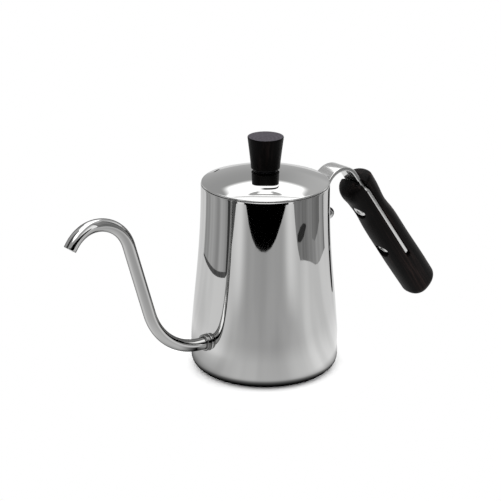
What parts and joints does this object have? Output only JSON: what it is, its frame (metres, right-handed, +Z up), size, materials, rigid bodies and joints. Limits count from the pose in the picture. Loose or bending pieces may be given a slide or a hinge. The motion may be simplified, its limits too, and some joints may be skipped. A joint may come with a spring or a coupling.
{
  "type": "gooseneck kettle",
  "caption": "Small pour-over kettle: polished steel pot with a thin swan-neck spout, a lift-off turning lid with a dark wooden knob, and a strap handle with a dark wooden grip.",
  "frame": {"origin": "centre of the resting face, on the underside of the base", "axes": "+Z up along the pot's axis, +X towards the handle, -X towards the spout"},
  "size_m": [0.2325, 0.073, 0.1167],
  "materials": {
    "pot_steel": "mirror-polished stainless steel",
    "base_steel": "satin stainless steel",
    "spout_steel": "polished stainless steel tube",
    "collar_steel": "polished stainless steel ring",
    "lid_steel": "mirror-polished stainless steel",
    "skirt_steel": "satin stainless steel",
    "knob_wood": "near-black stained hardwood, satin",
    "grip_wood": "near-black stained hardwood, satin, fine grain",
    "strap_steel": "polished stainless steel strap",
    "fastener_steel": "bright stainless steel hardware",
    "insert_brass": "turned brass"
  },
  "bodies": {
    "kettle": {"body_shell": "pot_steel", "bottom_plate": "base_steel", "spout_tube": "spout_steel", "spout_collar": "collar_steel", "handle_strap": "strap_steel", "wooden_grip": "grip_wood", "grip_screw_upper": "fastener_steel", "grip_screw_lower": "fastener_steel", "grip_insert_upper": "insert_brass", "grip_insert_lower": "insert_brass", "strap_stud_upper": "fastener_steel", "strap_spacer_upper": "fastener_steel", "cap_nut_upper": "fastener_steel", "strap_stud_lower": "fastener_steel", "strap_nut_lower": "fastener_steel"},
    "lid_carrier": {"lid_skirt": "skirt_steel"},
    "lid": {"lid_cover": "lid_steel", "knob": "knob_wood", "knob_spacer": "fastener_steel", "knob_screw": "fastener_steel", "knob_washer": "fastener_steel", "knob_insert": "insert_brass"}
  },
  "joints": [
    {"name": "lid_lift", "type": "slide", "parent": "kettle", "child": "lid_carrier", "axis": [0, 0, 1], "range_m": [0, 0.05]},
    {"name": "lid_turn", "type": "hinge", "parent": "lid_carrier", "child": "lid", "pos_m": [0, 0, 0.0933], "axis": [0, 0, 1], "continuous": true}
  ]
}
